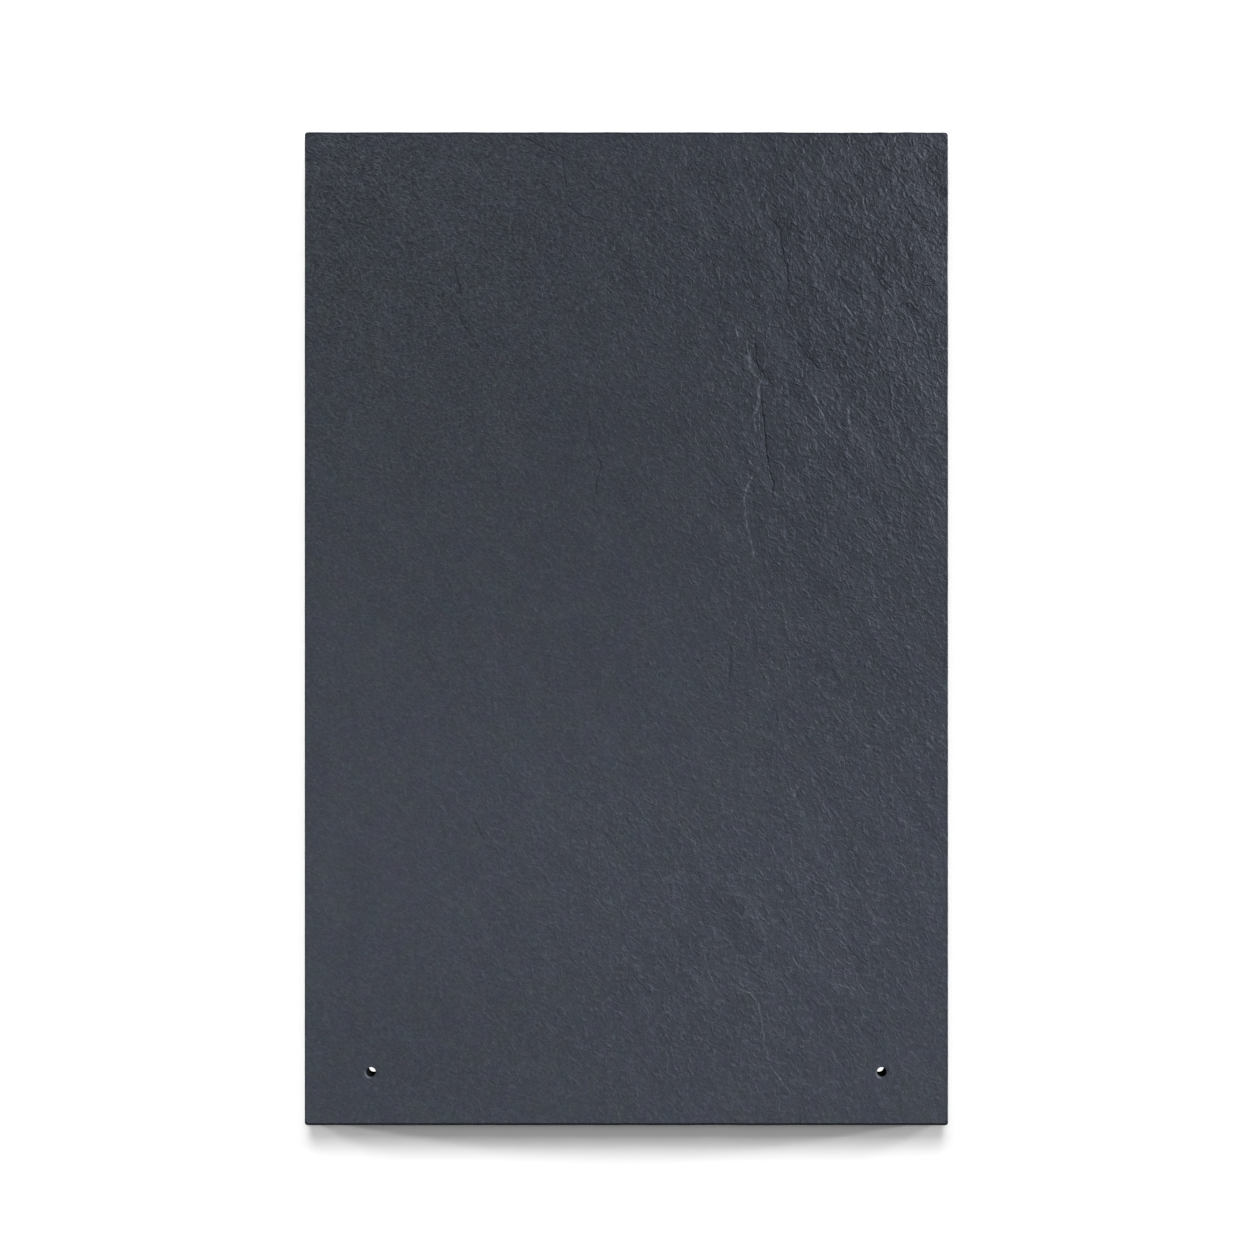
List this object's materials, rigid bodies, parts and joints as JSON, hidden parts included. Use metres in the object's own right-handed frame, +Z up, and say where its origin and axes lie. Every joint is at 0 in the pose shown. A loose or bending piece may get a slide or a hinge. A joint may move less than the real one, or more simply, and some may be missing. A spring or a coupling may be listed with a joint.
{
  "type": "fibre cement slate",
  "caption": "Flat rectangular fibre cement roofing slate with a riven face, worn arrises and punched nail holes near the corners of one end.",
  "frame": {"origin": "middle of the flat back, which lies on the floor", "axes": "+X across the slate, +Y along it from the nailed end to the far end, +Z up out of the riven face"},
  "size_m": [0.3, 0.463, 0.005],
  "materials": {
    "coated_fibre_cement": "dark blue-grey acrylic coating with a matt sheen over a riven face"
  },
  "bodies": {
    "root": {"slate": "coated_fibre_cement"}
  },
  "joints": []
}
